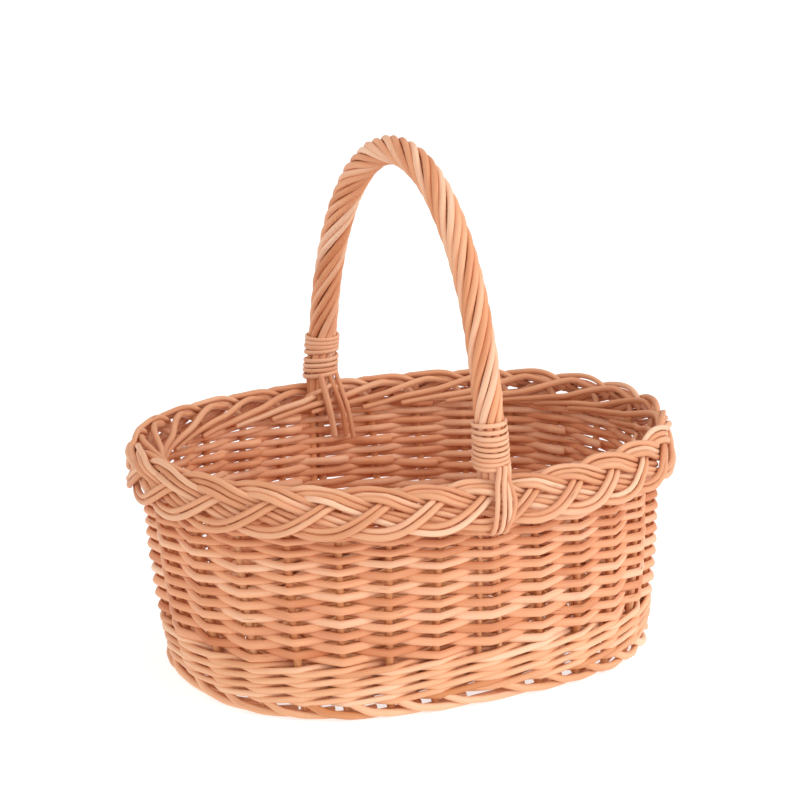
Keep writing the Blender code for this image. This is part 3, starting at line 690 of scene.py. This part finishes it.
def handle():
    """The bow and the rods roped round it, whose twist fades at the bindings. Gives the bow's line."""
    rng = np.random.default_rng(53)
    line = handle_line()
    run = along(line)
    thick = np.where(line[:, 2] < ARCH_SPRING, LEG_THICK, BOW_THICK)
    _, inward = along_handle(run, line)
    rods("handle_bow_rod", [(line, inward, soften(thick, 6))], rng, "willow_handle", ["handle_bow"], sides=12)
    start = height_run(line, ROPE_START)
    tail = start - height_run(line, ROPE_FOOT)
    end = run[-1] - start
    distances = np.arange(start - tail, end + tail, ROPE_STEP)
    inner = BOW_THICK / 2 + ROPE_ROD / 2 + ROPE_GAP
    rate = np.clip((np.minimum(distances - start, end - distances)) / ROPE_EASE, 0, 1)
    twist = np.concatenate([[0], np.cumsum(np.diff(distances) * (rate[1:] + rate[:-1]) / 2)])
    closing = ROPE_CLOSING * np.clip(np.maximum(start - distances, distances - end) / tail, 0, 1)
    for number in range(ROPE_RODS):
        turns = TURN * (twist / ROPE_PITCH + number / ROPE_RODS) + wander(rng, distances, 150 * MM, 0.07)
        reach = inner + wander(rng, distances, 120 * MM, 0.15 * MM) - closing
        spiral, radial = wound(distances, turns, reach, line)
        width = ROPE_ROD * rng.uniform(0.95, 1.05) * (1 + wander(rng, distances, 240 * MM, 0.05))
        rods(f"handle_rope_rod_{number + 1}", [(spiral, radial, width, rng.normal(0.0, 0.4))], rng,
             "willow_handle", [f"handle_rod_{number + 1}"], sides=12, flat=0.97)
    return line


def binding(name, node_name, line, from_back, turns, heights, reaches, seed):
    """A thin rod wound round one end of the rope. Heights and reaches are given at turns, in millimetres.

    Its reach from the leg's middle is the least of the reaches across the basket, and the one given along it.
    """
    rng = np.random.default_rng(seed)
    fine = np.linspace(turns[0], turns[-1], int(round((turns[-1] - turns[0]) * BINDING_FINE)) + 1)
    angles = TURN * fine
    levels = soften(np.interp(fine, turns, heights), 5) * MM + wander(rng, angles, 40, 0.3 * MM)
    distances = height_run(line, levels)
    if from_back:
        distances = along(line)[-1] - distances
        angles = -angles
    least = min(reaches) * MM
    reach = least + (np.interp(fine, turns, reaches) * MM - least) * np.sin(angles) ** 2
    fade = np.clip(np.minimum(fine - fine[0], fine[-1] - fine) / BINDING_FADE, 0, 1)
    reach = reach - BINDING_TUCK * (1 - fade) ** 2 + wander(rng, angles, 9, 0.2 * MM)
    spiral, radial = wound(distances, angles, reach, line)
    width = BINDING_ROD * (0.97 + wander(rng, angles, 30, 0.08))
    rods(name, [(spiral, radial, width, BINDING_TONE)], rng, "willow_binding", [node_name], sides=10,
         flat=BINDING_FLATNESS)


def front_tie():
    """Thin rods that fan from under the front binding, run over the border and tuck in below it.

    Their common line goes down the border's face and off it, and each has its own drift along the basket in
    millimetres, given at the binding, at the middle and at the lower edge.
    """
    rng = np.random.default_rng(71)
    downs = np.array([-20.0, -16.0, -9.9, 2.0, 12.0, 19.0, 20.6, 16.0]) * MM
    offs = np.array([12.6, 11.0, 8.4, 7.6, 6.8, 3.6, -1.5, -6.0]) * MM
    run = along(np.column_stack([downs, offs]))
    fine = np.linspace(0, run[-1], 40)
    down, off = soften(np.interp(fine, run, downs), 3), soften(np.interp(fine, run, offs), 3)
    knots = run[-1] * np.array([0, 0.5, 0.85])
    front = np.full(len(fine), -TURN / 4)
    normals = np.tile([0.0, -1.0], (len(fine), 1))
    fan = ([2.6, -5.5, -12.8], [6.6, -0.5, -7.6], [9.8, 3.6, -3.2], [7.4, 8.6, -4.9])
    bars = []
    for number, drifts in enumerate(fan):
        shift = soften(np.interp(fine, knots, np.array(drifts) * MM), 8)
        shift += wander(rng, fine, 50 * MM, 0.3 * MM)
        spots = np.column_stack([shift, np.full(len(fine), -MOUTH_HALF_WIDTH)])
        line, face = on_face(spots, normals, front, down, off + number % 2 * TIE_STAGGER)
        bars.append((line, face, np.linspace(3.5, 3.0, len(fine)) * MM * rng.uniform(0.94, 1.08)))
    rods("front_tie_rods", bars, rng, "willow_binding", ["front_tie"], flat=0.85)


def back_tie():
    """Thin rods from the back binding down the inside of the wall, where they end in the weave.

    A row gives a rod's drift along the basket at its top, middle and end, the height of that end and its
    thickness, in millimetres.
    """
    rng = np.random.default_rng(73)
    bars = []
    for top, middle, end, low, thick in ((-6.0, -2.5, 1.8, 122.5, 4.7), (0.4, 7.5, 10.6, 121.5, 3.8),
                                         (6.0, 12.0, 16.4, 119.5, 3.6)):
        heights = np.linspace(ROPE_START + 5 * MM, low * MM, 30)
        share = np.linspace(0, 1, len(heights))
        drift = soften(np.interp(share, [0, 0.5, 1], [top, middle, end]), 6) * MM - 2 * MM * (1 - share)
        inward = np.interp(heights, [low * MM, MOUTH_HEIGHT, ROPE_START], [9.5 * MM, 11.5 * MM, 10 * MM])
        bow = 1.4 * MM * np.sin(math.pi * share)
        line = np.column_stack([drift, wall_size(heights)[1] - soften(inward, 5) - bow, heights])
        bars.append((line, (0.0, -1.0, 0.0), thick * MM * np.linspace(0.95, 1.05, len(heights))))
    rods("back_tie_rods", bars, rng, "willow_binding", ["back_tie"])


def liners():
    """Rods pushed down the wall beside each leg of the handle, inside, each thick or thin."""
    rng = np.random.default_rng(79)
    heights = np.linspace(LINER_FOOT, LINER_TOP, 26)
    for name, place, sides in (("front", FRONT_PLACE, ((-0.16, 4.0), (0.16, 3.8))),
                               ("back", BACK_PLACE, ((0.3, 5.8), (0.15, 2.8)))):
        bars = []
        for side, thick in sides:
            line, facing = on_wall(place + side + wander(rng, heights, 150 * MM, 0.012), 0.2 * MM, heights)
            bars.append((line, facing, np.linspace(1.05, 0.95, len(heights)) * thick * MM))
        rods(f"{name}_liner_rods", bars, rng, "willow_uprights")


def base_sticks():
    """The slit cross sticks and the long sticks through them. Gives the cross sticks' x and their height."""
    rng = np.random.default_rng(83)
    low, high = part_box("base_stick_cross_4")
    middle = (low.z + high.z) / 2
    cross_at = []
    for number in range(1, 8):
        low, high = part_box(f"base_stick_cross_{number}")
        x = (low.x + high.x) / 2
        line = np.column_stack([np.full(16, x), np.linspace(low.y, high.y, 16), np.full(16, middle)])
        rods(f"base_cross_stick_{number}", [(line, UP, high.x - low.x - 1.2 * MM)], rng, "willow_base",
             [f"base_stick_cross_{number}"], sides=10)
        cross_at.append(x)
    for number in range(1, 4):
        low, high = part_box(f"base_stick_long_{number}")
        y = (low.y + high.y) / 2
        line = np.column_stack([np.linspace(low.x, high.x, 24), np.full(24, y), np.full(24, middle)])
        rods(f"base_long_stick_{number}", [(line, UP, high.y - low.y)], rng, "willow_base",
             [f"base_stick_long_{number}"], sides=10)
    return cross_at, middle


def base_weaving(cross_at, middle):
    """Rings of rods woven round the sticks out to the oval edge, and rods wound round the long sticks.

    A ring |x/a|^m + |y/b|^m = 1 meets the cross stick at x at the angle arccos((|x|/a)^(m/2)).
    """
    rng = np.random.default_rng(89)
    thick = BASE_THICK
    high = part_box("base_weave")[1]
    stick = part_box("base_stick_cross_4")[1].z - middle
    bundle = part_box("base_stick_long_3")[1].y
    half_length, half_width = high.x - thick / 2, high.y - thick / 2
    bars = []
    while half_width > bundle + 1.5 * thick:
        start = rng.uniform(0, TURN)
        angles = start + np.linspace(0, TURN + RING_OVERLAP, 256)
        crossings = [0.0, math.pi]
        for x in cross_at:
            if abs(x) < half_length * 0.95:
                angle = math.acos(math.copysign((abs(x) / half_length) ** (OVAL_FULLNESS / 2), x))
                crossings += [angle, TURN - angle]
        crossings = np.sort(crossings)
        knots = np.concatenate([crossings + TURN * turn for turn in range(3)])
        sides = (-1.0) ** (np.arange(len(knots)) + len(bars))
        levels = soften(np.interp(angles, knots, sides), 4) * (stick - BASE_DIP + thick / 2)
        tuck = np.clip((angles - start - TURN + RING_OVERLAP) / RING_OVERLAP, 0, 1) * thick * BUTT_TUCK
        spots, _ = oval(angles, half_length, half_width)
        bars.append((np.column_stack([spots, middle + levels - tuck]), UP, thick * rng.uniform(0.92, 1.06)))
        half_length -= thick
        half_width -= thick
    inside = [x for x in cross_at if abs(x) < half_length - 4 * MM]
    ends = np.array([-half_length, *inside, half_length])
    for low, high in zip(ends[:-1] + stick, ends[1:] - stick):
        rounds = round((high - low) / thick)
        turns = np.linspace(0, TURN * rounds, 24 * rounds)
        across = np.sign(np.cos(turns)) * np.abs(np.cos(turns)) ** WINDING_POWER * (bundle + thick / 2)
        up = np.sin(turns) * (LONG_THICK / 2 + thick / 2)
        line = np.column_stack([np.linspace(low, high, len(turns)), across, middle + up])
        facing = unit(np.column_stack([np.zeros(len(turns)), 0.5 * across, up]))
        bars.append((line, facing, thick * rng.uniform(0.92, 1.0)))
    rods("base_weaving_rods", bars, rng, "willow_base", ["base_weave"], sides=6)


def studio():
    """A pale floor that glows a little, like a light table, soft lights round it, and the camera."""
    bpy.ops.mesh.primitive_plane_add(size=16, location=(0, 0, 0))
    floor = bpy.context.object
    floor.name = "studio_floor"
    material = bpy.data.materials.new("pale_floor")
    material.use_nodes = True
    shader = material.node_tree.nodes["Principled BSDF"]
    shader.inputs["Base Color"].default_value = (0.5, 0.5, 0.5, 1)
    shader.inputs["Roughness"].default_value = 0.9
    shader.inputs["Specular IOR Level"].default_value = 0.0
    shader.inputs["Emission Color"].default_value = (1, 1, 1, 1)
    shader.inputs["Emission Strength"].default_value = 0.7
    floor.data.materials.append(material)

    world = bpy.data.worlds.new("studio")
    world.use_nodes = True
    background = world.node_tree.nodes["Background"]
    background.inputs["Color"].default_value = (1, 1, 1, 1)
    background.inputs["Strength"].default_value = 0.74
    bpy.context.scene.world = world

    aim = Vector((0, 0, 0.15))
    for name, power, size, place in (("key", 42, 1.8, (2.1, -2.2, 1.3)), ("fill", 11, 2.0, (-1.9, -1.6, 1.8)),
                                     ("top", 8, 1.6, (0.1, -0.6, 2.4))):
        light = bpy.data.lights.new(name, "AREA")
        light.energy = power
        light.size = size
        lamp = bpy.data.objects.new(name, light)
        lamp.location = place
        lamp.rotation_euler = (aim - Vector(place)).to_track_quat("-Z", "Y").to_euler()
        bpy.context.scene.collection.objects.link(lamp)

    lens_pixels, distance = 3852.5, 2.617
    azimuth, elevation, roll = math.radians(-27.32), math.radians(17.38), math.radians(-0.26)
    middle = Vector((0, 0, 0.1545))
    middle_pixels = (402.9, 433.0)
    frame_pixels = 800
    back = Vector((math.sin(azimuth) * math.cos(elevation), -math.cos(azimuth) * math.cos(elevation),
                   math.sin(elevation)))
    data = bpy.data.cameras.new("camera")
    data.lens = lens_pixels * data.sensor_width / frame_pixels
    data.shift_x = (frame_pixels / 2 - middle_pixels[0]) / frame_pixels
    data.shift_y = (middle_pixels[1] - frame_pixels / 2) / frame_pixels
    camera = bpy.data.objects.new("camera", data)
    camera.location = middle + back * distance
    turn = back.to_track_quat("Z", "Y") @ Euler((0, 0, roll)).to_quaternion()
    camera.rotation_euler = turn.to_euler()
    bpy.context.scene.collection.objects.link(camera)
    bpy.context.scene.camera = camera
    bpy.context.scene.view_settings.view_transform = "Standard"


stakes()
randed_rows("siding_rods", SIDING_LOW, SIDING_HIGH, SIDING_ROWS, 0, 0.12, ["siding_a", "siding_b"], 17)
randed_rows("upper_wale_rods", UPPER_LOW, UPPER_HIGH, UPPER_ROWS, SIDING_ROWS, 0.04, ["upper_wale"], 19)
lower_wale()
foot_border()
border()
handle_middle = handle()
binding("front_binding_rod", "front_binding", handle_middle, False, [0, 0.5, 6.5, 7.5, 8.5, 9],
        [165, 166.3, 187, 191.2, 195.6, 196.5], [12.2, 12.2, 11.2, 11, 11, 11], seed=61)
binding("back_binding_rod", "back_binding", handle_middle, True, [-0.35, 0.25, 0.75, 1, 4, 5, 8, 8.6],
        [146.5, 166, 164.5, 167, 176.8, 183.5, 193.1, 194], [11.8, 11.8, 11.8, 11.6, 11.4, 11.2, 11.2, 11.2],
        seed=67)
front_tie()
back_tie()
liners()
base_weaving(*base_sticks())
studio()
